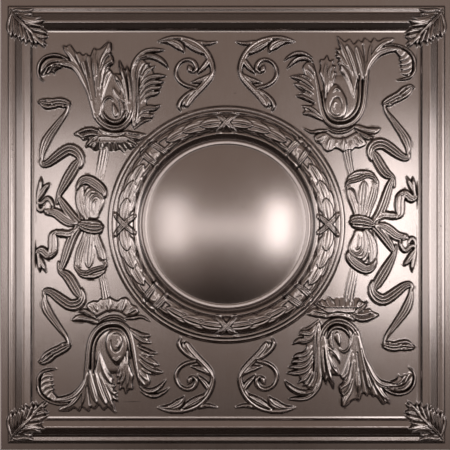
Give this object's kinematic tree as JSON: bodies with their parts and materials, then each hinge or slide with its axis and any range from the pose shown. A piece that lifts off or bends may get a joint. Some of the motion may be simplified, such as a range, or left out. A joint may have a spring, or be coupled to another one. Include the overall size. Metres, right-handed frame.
{
  "type": "pressed tin ceiling tile",
  "caption": "Square pressed sheet-metal ceiling tile with a moulded border, a raised ring and dome in the middle, and embossed scrollwork on the field.",
  "frame": {"origin": "middle of the tile, on the plane of the flange's back", "axes": "+X to the tile's right and +Y to its top as in the picture, +Z out of the decorated face"},
  "size_m": [0.6096, 0.6096, 0.0135],
  "materials": {
    "tinplate": "satin, warm nickel-coloured lacquer over tinplate"
  },
  "bodies": {
    "root": {"ceiling_tile": "tinplate"}
  },
  "joints": []
}
